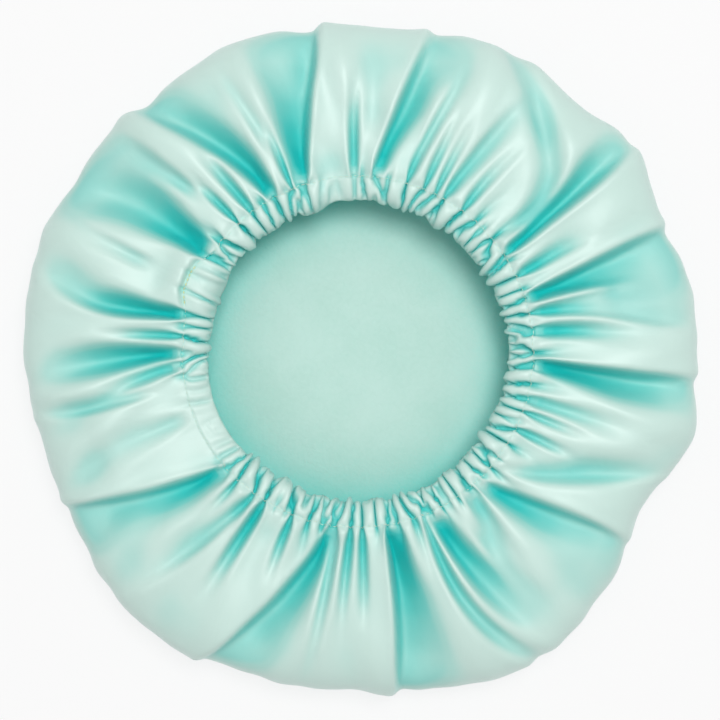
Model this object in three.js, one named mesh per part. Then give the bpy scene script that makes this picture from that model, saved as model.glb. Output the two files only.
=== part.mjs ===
// A satin hair bonnet that lies crown down, with its gathered mouth facing up.
// A circle of satin and a circle of matte lining are gathered into a folded casing strip, which
// holds a flat elastic loop. Millimetres, +Z up; the origin is on the table, under the middle.
import * as THREE from "three";

// The bag: angles are in degrees, anticlockwise from +X as seen from above.
const RIM_RADIUS = 171; // mean radius of the folded rim
const RIM_HEIGHT = 14; // height of the rim's widest line
const CROWN_FLAT_RADIUS = 138; // the crown lies flat on the table out to here
const BRIM_PUFF = 46; // pull that swells the brim's section
const BRIM_RUN = 0.7; // share of the puff that pulls it on along the casing's slope
const RIM_LIFT = 0.76; // share of the puff that pulls it up over the rim
const RIM_BULGE = 1; // it is pulled this far out over the rim
const RIM_DROP = 0.3; // share of the rim's height at which its turn is pulled in
const CROWN_REACH = 0.6; // share of the way out from the flat crown at which the turn leaves the table
const CROWN_SWELL = 2.5; // the lining lies loose and rises in the middle of the crown
const SATIN_THICKNESS = 0.35;
const LINING_THICKNESS = 0.35;
const LAYER_GAP = 0.3; // clearance between cloth, elastic and thread

// The mouth: a flat elastic loop inside a satin strip that is folded over it.
const LIP_RADIUS = 75;
const LIP_HEIGHT = 33;
const MOUTH_CENTRE = new THREE.Vector2(-1, 4);
const CASING_SLOPE = 18; // rise of the casing from its lip outwards
const ELASTIC_WIDTH = 8;
const ELASTIC_THICKNESS = 0.8;
const ELASTIC_LAP = 15; // length over which the elastic's ends are sewn together
const CASING_EASE = 1.2; // room beside each edge of the elastic
const SEAM_MARGIN = 2.6; // from the elastic's tunnel to the strip's raw edges
const CLOTH_TUCK = 1.5; // shell and lining reach this far in between the strip's two plies
const STITCH_INSET = 0.8; // from the strip's raw edges to its row of stitches
const LIP_SCALLOP = 1; // each gather pushes the lip inwards by this much
const GATHERS = 52;
const GATHER_HEIGHT = 2.8;
const GATHER_UNEVENNESS = 0.4; // share of the height by which gathers differ
const GATHER_BEAT = 1.7; // radians from one gather's height to the next one's
const LOWER_PLY_SHARE = 0.5; // the ply below the elastic gathers this much less
const JOIN_ANGLE = 157; // the elastic's lap and the strip's closing tack
const JOIN_PUFF = 3.2; // the casing swells over the lap
const JOIN_PUFF_WIDTH = 9; // degrees to each side
const JOIN_PUFF_TOP = 0.4; // share of that width over which the swell is full

// Sewing thread.
const THREAD_DIAMETER = 0.5;
const ZIGZAG_TURNS = 9;
const ZIGZAG_MARGIN = 1; // from the zigzag to the elastic's edges
const ZIGZAG_SHARE = 0.8; // share of the lap that the zigzag covers
const TACK_LENGTH = 6;
const TACK_WIDTH = 1.4;
const TACK_HEIGHT = 0.7;
const TACK_SHOULDER = 0.6; // share of the tack's height at which its sides turn in
// How thick the tack is along its length: [share of the length, share of the thickness].
const TACK_PROFILE = [[0, 0.35], [0.12, 0.8], [0.5, 1], [0.88, 0.8], [1, 0.35]];

// How far the rim stands out or in from its mean radius: [angle, offset].
const RIM_OUTLINE = [
  [0, 0], [16, 3], [26, -1.5], [39.5, 6], [49, -1], [66, 4], [86, -2.5], [107, 3],
  [122, 0], [136, 1.5], [150, 3], [177, -0.5], [198, -4.5], [215, -0.5], [236, 3],
  [256, -2.5], [268, -4], [282, 2], [301, 6], [318, 0], [332, -10.5], [348, 3.5],
];

// The valleys between the brim's folds: [angle at the mouth, half way and at the rim, depth, share
// of the depth that is left near the rim, width of the wall to the lower and to the higher angle].
const VALLEYS = [
  [9.5, 8, 6, 5, 0.1, 3, 3], [17.8, 20.5, 21, 14, 0.8, 5, 3], [33.5, 36.8, 39, 13, 0.85, 3, 3],
  [39.5, 44, 58, 6, 0.8, 3, 5], [56, 56, 61, 5, 0.2, 3, 3], [74, 71, 69, 5, 0.2, 3, 3],
  [84.5, 79.8, 77, 11, 0.85, 5, 3], [91.2, 91, 90, 5, 0.1, 2.5, 2.5], [107.5, 101.5, 98, 13, 0.85, 3, 6],
  [118.5, 124.3, 130, 12, 0.8, 5, 3], [128, 131, 135, 4, 0.2, 2.5, 2.5], [147, 145.5, 147, 14, 0.8, 6, 5],
  [167.8, 168.8, 162, 10.5, 0.5, 4.5, 3], [180.2, 181.5, 181, 10.5, 0.5, 4, 3.5],
  [186, 190, 190, 6, 0.6, 4, 2.5], [203, 201, 198, 3, 0.5, 4, 4], [221.5, 213, 207, 12, 0.85, 3, 6],
  [234, 229, 223, 5, 0.6, 4, 2.5], [238, 237, 236.5, 6, 0.1, 2.5, 2.5],
  [261.5, 251.5, 242.5, 12, 0.75, 3, 6], [280, 279, 277, 14, 0.8, 3, 6], [293.5, 298, 305, 9, 0.6, 3, 5],
  [313, 320, 322, 8, 0.7, 6, 4], [322, 330.5, 336, 6, 0.8, 4, 2.5], [345, 345, 345, 5, 0.2, 3, 3],
  [356, 355, 353, 13, 0.85, 5, 3],
];
const RIDGE_SHARE = 0.1; // a ridge stands this share of its valley's depth above the brim
const WALL_FAN = [0.7, 1.3]; // walls are this much narrower at the mouth and wider at the rim
const WALL_LIMITS = [0.24, 0.42]; // least and most share of the gap between valleys that a wall takes
const FOLD_START = 0.3; // station at which the folds are fully deep
const FOLD_FADE = [0.6, 1]; // stations between which they run out over the rim

// Stations along the brim's section, from the casing to the rim, and along the crown's turn.
const BRIM_STATIONS = [0.2, 0.45, 0.75, 1];
const CROWN_STATIONS = [0.5, 1];

const MINT = "#a6dcd1";
const PALE_MINT = "#b4ddd2";
const WHITE_MINT = "#dcefe6";
const PALE_YELLOW = "#e4e6ab";

// Sizes that follow from the ones above.
const slope = THREE.MathUtils.degToRad(CASING_SLOPE);
const casingWidth = ELASTIC_WIDTH + 2 * CASING_EASE + SEAM_MARGIN;
const tuckStart = casingWidth - CLOTH_TUCK;
const clothHalf = LAYER_GAP / 2 + Math.max(SATIN_THICKNESS, LINING_THICKNESS);
const lapHalf = ELASTIC_THICKNESS + LAYER_GAP / 2;
const threadRadius = THREAD_DIAMETER / 2;
const joinStitchTop = lapHalf + LAYER_GAP + THREAD_DIAMETER;
const tunnelHalf = Math.max(lapHalf, clothHalf) + LAYER_GAP;

const { degToRad, smoothstep, lerp, clamp } = THREE.MathUtils;

// Eased value of a closed list of [angle, value] pairs at an angle in degrees.
function around(list, angle) {
  const turn = THREE.MathUtils.euclideanModulo(angle - list[0][0], 360) + list[0][0];
  const next = list.findIndex(([a]) => a > turn);
  const [highAngle, high] = next < 0 ? [list[0][0] + 360, list[0][1]] : list[next];
  const [lowAngle, low] = next < 0 ? list[list.length - 1] : list[next - 1];
  return lerp(low, high, smoothstep(turn, lowAngle, highAngle));
}

const rimRadius = (angle) => RIM_RADIUS + around(RIM_OUTLINE, angle);

// A point at an angle, a radius and a height; the mouth's centre fades out towards the rim.
function polar(angle, radius, height, mouthShare) {
  const a = degToRad(angle);
  return new THREE.Vector3(
    MOUTH_CENTRE.x * mouthShare + radius * Math.cos(a),
    MOUTH_CENTRE.y * mouthShare + radius * Math.sin(a),
    height,
  );
}

// A point of the casing: along it from the lip, and out of its plane, away from the head.
function casingPoint(angle, along, out) {
  const radius = LIP_RADIUS + along * Math.cos(slope) - out * Math.sin(slope);
  const height = LIP_HEIGHT + along * Math.sin(slope) + out * Math.cos(slope);
  return polar(angle, radius, height, 1);
}

// The bag's section between the two cloth layers, as [radius, height]: brim, then crown.
const along = (distance) =>
  new THREE.Vector2(
    LIP_RADIUS + distance * Math.cos(slope),
    LIP_HEIGHT + distance * Math.sin(slope),
  );
const brimSection = new THREE.CubicBezierCurve(
  along(casingWidth),
  along(casingWidth + BRIM_PUFF * BRIM_RUN),
  new THREE.Vector2(RIM_RADIUS + RIM_BULGE, RIM_HEIGHT + BRIM_PUFF * RIM_LIFT),
  new THREE.Vector2(RIM_RADIUS, RIM_HEIGHT),
);
const crownSection = new THREE.CubicBezierCurve(
  new THREE.Vector2(RIM_RADIUS, RIM_HEIGHT),
  new THREE.Vector2(RIM_RADIUS, RIM_HEIGHT * RIM_DROP),
  new THREE.Vector2(lerp(CROWN_FLAT_RADIUS, RIM_RADIUS, CROWN_REACH), clothHalf),
  new THREE.Vector2(CROWN_FLAT_RADIUS, clothHalf),
);

// How much of a valley's depth shows at a station of the brim.
function foldShare(station, rimShare) {
  const rise = smoothstep(station, 0, FOLD_START);
  const fall = lerp(1, rimShare, smoothstep(station, FOLD_START, FOLD_FADE[1]));
  return rise * fall * (1 - smoothstep(station, ...FOLD_FADE));
}

// The angle of a valley at a share of the way from the mouth to the rim: a parabola through its
// three angles.
function valleyAngle([mouth, middle, rim], share) {
  const bend = 2 * (mouth + rim - 2 * middle);
  return mouth + (rim - mouth - bend) * share + bend * share ** 2;
}

// The columns of the bag's surface: each valley, the ridge where its wall ends, and the ridge where
// the next valley's wall starts. A column's angle depends on the share of the way to the rim.
function foldColumns() {
  return VALLEYS.flatMap((valley, i) => {
    const wrap = i + 1 === VALLEYS.length ? 360 : 0;
    const next = VALLEYS[(i + 1) % VALLEYS.length];
    const [, , , depth, rimShare, , highWidth] = valley;
    const [, , , nextDepth, nextRimShare, lowWidth] = next;
    const start = (share) => valleyAngle(valley, share);
    const end = (share) => valleyAngle(next, share) + wrap;
    const wall = (width, share) => {
      const gap = end(share) - start(share);
      return gap * clamp((width * lerp(...WALL_FAN, share)) / gap, ...WALL_LIMITS);
    };
    return [
      { angle: start, lift: -depth, rimShare },
      {
        angle: (share) => start(share) + wall(highWidth, share),
        lift: RIDGE_SHARE * depth,
        rimShare,
      },
      {
        angle: (share) => end(share) - wall(lowWidth, share),
        lift: RIDGE_SHARE * nextDepth,
        rimShare: nextRimShare,
      },
    ];
  });
}

// A point of the brim between the two layers, with its fold.
function brimPoint(column, station) {
  const section = brimSection.getPoint(station);
  const tangent = brimSection.getTangent(station);
  const lift = column.lift * foldShare(station, column.rimShare);
  const stitched = brimSection.v0.x;
  const share = (section.x - stitched) / (RIM_RADIUS - stitched);
  const spread = (rimRadius(column.angle(1)) - stitched) / (RIM_RADIUS - stitched);
  const radius = stitched + (section.x - stitched) * spread - tangent.y * lift;
  const height = section.y + tangent.x * lift;
  return polar(column.angle(share), radius, height, 1 - smoothstep(station, 0, 1));
}

function crownPoint(column, station) {
  const section = crownSection.getPoint(station);
  const angle = column.angle(1);
  const turned = (section.x - CROWN_FLAT_RADIUS) / (RIM_RADIUS - CROWN_FLAT_RADIUS);
  return polar(angle, lerp(CROWN_FLAT_RADIUS, rimRadius(angle), turned), section.y, 0);
}

// The bag between its layers, as rows of points from the tucked edge to the crown's flat.
function bagRows() {
  const columns = foldColumns();
  return [
    columns.map((c) => casingPoint(c.angle(0), tuckStart, 0)),
    columns.map((c) => casingPoint(c.angle(0), casingWidth, 0)),
    ...BRIM_STATIONS.map((s) => columns.map((c) => brimPoint(c, s))),
    ...CROWN_STATIONS.map((s) => columns.map((c) => crownPoint(c, s))),
  ];
}

// Outward normal at each point of the rows. The last row lies flat on the table.
function rowNormals(rows) {
  const count = rows[0].length;
  return rows.map((row, r) =>
    row.map((point, c) => {
      if (r === rows.length - 1) return new THREE.Vector3(0, 0, -1);
      const before = rows[Math.max(r - 1, 0)][c];
      const after = rows[r + 1][c];
      const ahead = row[(c + 1) % count];
      const behind = row[(c + count - 1) % count];
      const around = new THREE.Vector3().subVectors(ahead, behind);
      return new THREE.Vector3().subVectors(after, before).cross(around).normalize();
    }),
  );
}

// A mesh from points and triangles given as lists.
function meshOf(name, points, faces, material) {
  const geometry = new THREE.BufferGeometry().setFromPoints(points);
  geometry.setIndex(faces.flat());
  geometry.computeVertexNormals();
  const mesh = new THREE.Mesh(geometry, material);
  mesh.name = name;
  return mesh;
}

// Two triangles between the corners a, b (first ring) and c, d (second ring), split from a to d,
// or from b to c.
const quad = (a, b, c, d, fromB = false) =>
  fromB ? [[a, b, c], [b, d, c]] : [[a, b, d], [a, d, c]];

// A sheet with an outer and an inner face, each given as rings of points from one raw edge to the
// other. A last ring of one point closes the sheet. The quads on both sides of every second column
// are split alike, so that a fold is even, and both faces are split alike, so that none crosses.
// From backRow on the sheet runs back over itself, and is split the other way round.
function sheet(name, outer, inner, material, backRow = outer.length) {
  const count = outer[0].length;
  const isClosed = outer[outer.length - 1].length === 1;
  const strips = outer.length - (isClosed ? 2 : 1);
  const points = [...outer.flat(), ...inner.flat()];
  const shift = points.length / 2;
  const last = strips * count;
  const skin = [];
  const edges = [];
  for (let c = 0; c < count; c++) {
    const d = (c + 1) % count;
    for (let r = 0; r < strips; r++) {
      const [a, b] = [r * count + c, r * count + d];
      skin.push(...quad(b, a, b + count, a + count, (c % 2 === 1) === r < backRow));
    }
    edges.push(...quad(c, d, shift + c, shift + d));
    if (isClosed) skin.push([last + d, last + c, shift - 1]);
    else edges.push(...quad(last + d, last + c, shift + last + d, shift + last + c));
  }
  const inside = skin.map(([a, b, c]) => [shift + a, shift + c, shift + b]);
  return meshOf(name, points, [...skin, ...inside, ...edges], material);
}

// One cloth layer of the bag: its outer and inner face lie at two distances from the middle. Its
// crown swells upwards.
function clothBag(name, outer, inner, swell, material) {
  const rows = bagRows();
  const normals = rowNormals(rows);
  const face = (distance) => [
    ...rows.map((row, r) => row.map((p, c) => p.clone().addScaledVector(normals[r][c], distance))),
    [new THREE.Vector3(0, 0, clothHalf + swell - distance)],
  ];
  return sheet(name, face(outer), face(inner), material);
}

// A solid through sections of equal length: closed into a ring, or capped at both ends.
function loft(name, sections, isRing, material) {
  const size = sections[0].length;
  const faces = [];
  const spans = isRing ? sections.length : sections.length - 1;
  for (let s = 0; s < spans; s++) {
    const next = (s + 1) % sections.length;
    for (let k = 0; k < size; k++) {
      const l = (k + 1) % size;
      faces.push(...quad(s * size + k, s * size + l, next * size + k, next * size + l));
    }
  }
  const end = (sections.length - 1) * size;
  for (let k = 1; !isRing && k + 1 < size; k++) {
    faces.push([0, k + 1, k], [end, end + k, end + k + 1]);
  }
  return meshOf(name, sections.flat(), faces, material);
}

// Swelling of the casing over the elastic's lap, from 0 to 1.
function joinPuff(angle) {
  const away = Math.abs(THREE.MathUtils.euclideanModulo(angle - JOIN_ANGLE + 180, 360) - 180);
  return 1 - smoothstep(away, JOIN_PUFF_TOP * JOIN_PUFF_WIDTH, JOIN_PUFF_WIDTH);
}

// The casing's gathers: a ridge and a valley in turn, uneven as elastic gathers are. The upper ply
// rises over the elastic, and the lower ply falls less below it.
function gatherColumns() {
  return Array.from({ length: 2 * GATHERS }, (_, i) => {
    const angle = (180 * i) / GATHERS;
    const puff = joinPuff(angle);
    const uneven = Math.abs(Math.sin(GATHER_BEAT * i));
    const ridge = (i % 2) * (1 - GATHER_UNEVENNESS * (1 - uneven)) * (1 - puff);
    const swell = puff * Math.max(JOIN_PUFF, joinStitchTop + LAYER_GAP - tunnelHalf);
    const rise = tunnelHalf + GATHER_HEIGHT * ridge + swell;
    return { angle, ridge, rise, fall: lerp(tunnelHalf, rise, LOWER_PLY_SHARE) };
  });
}

// Height over the casing's plane of a thread that lies on a ply, from its tunnel to its raw edge.
function threadHeight(rise, distance) {
  const edge = clothHalf + LAYER_GAP;
  const ply = lerp(edge, rise, (casingWidth - distance) / SEAM_MARGIN) + SATIN_THICKNESS;
  const steepness = Math.hypot(1, (rise - edge) / SEAM_MARGIN);
  return ply + (LAYER_GAP + threadRadius) * steepness;
}

// The strip: from the raw edge of its lower ply, round the lip, to the raw edge of its upper ply.
function casing(material) {
  const columns = gatherColumns();
  const tunnelEnd = casingWidth - SEAM_MARGIN;
  const edge = clothHalf + LAYER_GAP;
  const lip = ({ ridge }) => SATIN_THICKNESS - LIP_SCALLOP * ridge;
  const face = (skin) => [
    columns.map((c) => casingPoint(c.angle, casingWidth, -edge - skin)),
    columns.map((c) => casingPoint(c.angle, tunnelEnd, -c.fall - skin)),
    columns.map((c) => casingPoint(c.angle, lip(c) - skin, -tunnelHalf - skin)),
    columns.map((c) => casingPoint(c.angle, lip(c) - skin, tunnelHalf + skin)),
    columns.map((c) => casingPoint(c.angle, tunnelEnd, c.rise + skin)),
    columns.map((c) => casingPoint(c.angle, casingWidth, edge + skin)),
  ];
  const upperLip = 3;
  return sheet("elastic_casing", face(SATIN_THICKNESS), face(0), material, upperLip);
}

// The flat elastic climbs by its own thickness round the loop, so that its ends lap.
function elasticSections() {
  const middle = LIP_RADIUS + (CASING_EASE + ELASTIC_WIDTH / 2) * Math.cos(slope);
  const lapAngle = THREE.MathUtils.radToDeg(ELASTIC_LAP / middle);
  const turn = 360 + lapAngle;
  const steps = 72;
  const climb = lapHalf - ELASTIC_THICKNESS / 2;
  return Array.from({ length: steps + 1 }, (_, i) => {
    const angle = JOIN_ANGLE - lapAngle / 2 + (turn * i) / steps;
    const out = lerp(-climb, climb, i / steps);
    const half = ELASTIC_THICKNESS / 2;
    const [near, far] = [CASING_EASE, CASING_EASE + ELASTIC_WIDTH];
    const corners = [[near, -half], [near, half], [far, half], [far, -half]];
    return corners.map(([t, n]) => casingPoint(angle, t, out + n));
  });
}

// A round thread about a path of [angle, along, out] stations in the casing's frame.
function threadSections(stations, isRing) {
  const sides = 5;
  const centres = stations.map((s) => casingPoint(...s));
  return centres.map((centre, i) => {
    const last = centres.length - 1;
    const before = centres[i > 0 ? i - 1 : isRing ? last : 0];
    const after = centres[i < last ? i + 1 : isRing ? 0 : last];
    const tangent = new THREE.Vector3().subVectors(after, before).normalize();
    const out = casingPoint(stations[i][0], 0, 1).sub(casingPoint(stations[i][0], 0, 0));
    const across = new THREE.Vector3().crossVectors(out, tangent).normalize();
    const up = new THREE.Vector3().crossVectors(tangent, across);
    return Array.from({ length: sides }, (_, k) => {
      const a = (2 * Math.PI * k) / sides;
      return centre
        .clone()
        .addScaledVector(across, threadRadius * Math.cos(a))
        .addScaledVector(up, threadRadius * Math.sin(a));
    });
  });
}

// The row of stitches along the strip, on its outer ply or, with side -1, on its inner ply.
function stitchRow(name, side, material) {
  const distance = casingWidth - STITCH_INSET;
  const stations = gatherColumns().map((column) => {
    const rise = side > 0 ? column.rise : column.fall;
    return [column.angle, distance, side * threadHeight(rise, distance)];
  });
  return loft(name, threadSections(stations, true), true, material);
}

// The zigzag that sews the elastic's lapped ends together.
function joinStitch(material) {
  const middle = CASING_EASE + ELASTIC_WIDTH / 2;
  const reach = ELASTIC_WIDTH / 2 - ZIGZAG_MARGIN;
  const span = THREE.MathUtils.radToDeg((ZIGZAG_SHARE * ELASTIC_LAP) / (LIP_RADIUS + middle));
  const out = lapHalf + LAYER_GAP + threadRadius;
  const stations = Array.from({ length: ZIGZAG_TURNS + 1 }, (_, i) => [
    JOIN_ANGLE + span * (i / ZIGZAG_TURNS - 0.5),
    middle + (i % 2 ? reach : -reach),
    out,
  ]);
  return loft("elastic_join_stitch", threadSections(stations, false), false, material);
}

// The bar of thread that closes the strip's lapped ends, on the swell over the elastic's join.
function closingTack(material) {
  const middle = casingWidth - SEAM_MARGIN - TACK_WIDTH;
  const span = THREE.MathUtils.radToDeg(TACK_LENGTH / (LIP_RADIUS + middle));
  const swell = Math.max(...gatherColumns().map((c) => joinPuff(c.angle) && c.rise));
  const floor = swell + SATIN_THICKNESS + LAYER_GAP;
  const sections = TACK_PROFILE.map(([share, size]) => {
    const angle = JOIN_ANGLE + span * (share - 0.5);
    const half = (size * TACK_WIDTH) / 2;
    const top = floor + size * TACK_HEIGHT;
    const shoulder = floor + TACK_SHOULDER * size * TACK_HEIGHT;
    const outline = [
      [middle - half, floor], [middle - half, shoulder], [middle, top],
      [middle + half, shoulder], [middle + half, floor],
    ];
    return outline.map(([t, n]) => casingPoint(angle, t, n));
  });
  return loft("casing_closing_tack", sections, false, material);
}

const cloth = (color, roughness) =>
  new THREE.MeshStandardMaterial({ color, roughness, metalness: 0 });
const satin = cloth(MINT, 0.35);
const matte = cloth(PALE_MINT, 0.9);
const knit = cloth(WHITE_MINT, 0.85);
const thread = cloth(WHITE_MINT, 0.5);
const tackThread = cloth(PALE_YELLOW, 0.5);

const gap = LAYER_GAP / 2;
const bonnet = new THREE.Group();
const bag = new THREE.Group();
bag.add(clothBag("satin_shell", gap + SATIN_THICKNESS, gap, 0, satin));
bag.add(clothBag("lining", -gap, -gap - LINING_THICKNESS, CROWN_SWELL, matte));
const mouth = new THREE.Group();
mouth.add(casing(satin));
mouth.add(loft("elastic_band", elasticSections(), false, knit));
mouth.add(joinStitch(thread));
mouth.add(stitchRow("casing_topstitch", 1, thread));
mouth.add(stitchRow("casing_understitch", -1, thread));
mouth.add(closingTack(tackThread));
bonnet.add(bag, mouth);

export default bonnet;
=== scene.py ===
"""A satin hair bonnet lies crown down on a white table, seen from straight above.

The satin bag, its matte lining and the casing round the elastic are gathered cloth. The folds start
where they are laid, and then the cloth settles: it keeps its lengths, so it buckles between
the laid folds. Angles are in degrees, anticlockwise from +X, which points right in the picture;
lengths are in metres. A share of the brim is 0 at the stitch row and 1 at the rim.
"""
import math

import bpy
import numpy as np
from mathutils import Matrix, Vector


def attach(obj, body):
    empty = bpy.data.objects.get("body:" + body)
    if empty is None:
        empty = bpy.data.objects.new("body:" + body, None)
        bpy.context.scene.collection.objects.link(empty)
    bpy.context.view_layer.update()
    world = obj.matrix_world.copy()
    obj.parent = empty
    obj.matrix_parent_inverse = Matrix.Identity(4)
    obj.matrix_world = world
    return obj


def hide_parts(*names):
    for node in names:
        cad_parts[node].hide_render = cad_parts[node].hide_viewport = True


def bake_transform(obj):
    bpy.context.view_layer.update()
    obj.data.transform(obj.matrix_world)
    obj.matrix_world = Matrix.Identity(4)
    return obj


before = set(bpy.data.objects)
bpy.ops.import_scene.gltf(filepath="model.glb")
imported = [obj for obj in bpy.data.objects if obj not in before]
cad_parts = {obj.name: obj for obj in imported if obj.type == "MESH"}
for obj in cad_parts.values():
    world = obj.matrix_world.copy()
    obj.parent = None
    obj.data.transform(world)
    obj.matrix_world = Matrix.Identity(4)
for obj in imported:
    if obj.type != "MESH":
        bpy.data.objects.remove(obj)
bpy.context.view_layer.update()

MM = 0.001

# Sizes of the bag
RIM_RADIUS = 171 * MM
RIM_HEIGHT = 14 * MM
RIM_TURN = 1 * MM
RIM_DROP = 0.3  # share of the rim's height at which its turn is pulled in
CROWN_FLAT_RADIUS = 138 * MM
CROWN_REACH = 0.6  # share of the way out from the flat crown at which the turn leaves the table
CROWN_SWELL = 2.5 * MM  # the loose lining rises in the middle of the crown
BRIM_PUFF = 46 * MM
BRIM_RUN = 0.7  # share of the puff that pulls the brim on along the casing's slope
RIM_LIFT = 0.76  # share of the puff that pulls it up over the rim
LINING_GAP = 1.8 * MM
LINING_REACH = 4  # columns to each side over which the lining evens out the folds

# Sizes of the mouth
LIP_RADIUS = 75 * MM
LIP_HEIGHT = 33 * MM
MOUTH_CENTRE = np.array([-1, 4]) * MM
CASING_SLOPE = math.radians(18)
CASING_WIDTH = 13 * MM
TUNNEL_HALF = 1.3 * MM  # half of the room between the casing's plies
GATHER_HEIGHT = 5.5 * MM
LIP_SCALLOP = 3.8 * MM
LIP_NOTCH = 0.25  # share of the scallop by which the lip draws back between two gathers
LIP_TURN = 0.16  # share of the casing's width over which the cloth turns round the lip
LIP_FULLNESS = 0.35  # share of a gather's height at the lip
ARCH_LEAN = 0.8  # below 1, the casing is highest near its lip
ARCH_FULLNESS = 0.7  # below 1, its arch is fuller than a sine
LOWER_PLY_SHARE = 0.45  # share of the gathers' height on the ply below the elastic
EDGE_SHARE = 0.1  # share of the casing's width that the lower ply runs past the stitch row
SEAM_TUCK = 1.5 * MM
SEAM_OFFSET = 0.5  # share of the tunnel's half by which cloth lies above or below the seam
STRIP_WIDTH = 30 * MM
STRIP_FULLNESS = 2  # length of the strip's pattern for each length of the lip

# The swell over the elastic's join, and the loose collar of cloth beside it
JOIN_ANGLE = 157
JOIN_PUFF = 7 * MM
JOIN_PUFF_WIDTH = 8
JOIN_EDGE = 4  # how steeply the swell ends
JOIN_WIDENING = 5 * MM
JOIN_SLIDE = 0.3  # share of the brim over which the widening fades out
JOIN_LIP = 2.5 * MM
COLLAR = 6 * MM
COLLAR_TOP = 0.06  # shares of the brim where the collar is highest and where it ends
COLLAR_END = 0.22

# Stitches
STITCH_LENGTH = 3 * MM
THREAD_DIAMETER = 0.5 * MM
TACK_ANGLES = (152, 165)
TACK_STITCH = 2.2 * MM
TACK_DIAMETER = 0.8 * MM
STITCH_COVER = 0.8  # share of a stitch's step that its thread covers
STITCH_AIM = 0.3  # share of a step to each side over which a stitch's direction is taken
STITCH_RISE = 0.3  # share of the thread's diameter by which its middle lies over the cloth
STITCH_SIZES = (0.85, 1.05)
STITCH_SEED = 5
STITCH_BEAD = {"Segments": 6, "Rings": 4, "Radius": 0.5}

# How finely the cloth is divided
COLUMNS = 720
CASING_ROWS = 16
BRIM_ROWS = 72
TURN_ROWS = 18
CROWN_ROWS = 8
STITCH_ROW = CASING_ROWS
RIM_ROW = CASING_ROWS + BRIM_ROWS
ROW_GROWTH = 1.15  # above 1, the brim's rows lie closer at the mouth

# How far the rim stands out from its mean radius, in millimetres: (angle, offset)
RIM_OUTLINE = [
    (0, 0), (16, 3), (26, -1.5), (39.5, 6), (49, -1), (66, 4), (86, -2.5), (107, 3),
    (122, 0), (136, 1.5), (150, 3), (177, -0.5), (198, -4.5), (215, -0.5), (236, 3),
    (256, -2.5), (268, -4), (282, 2), (301, 6), (318, 0), (332, -10.5), (348, 3.5),
]
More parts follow.
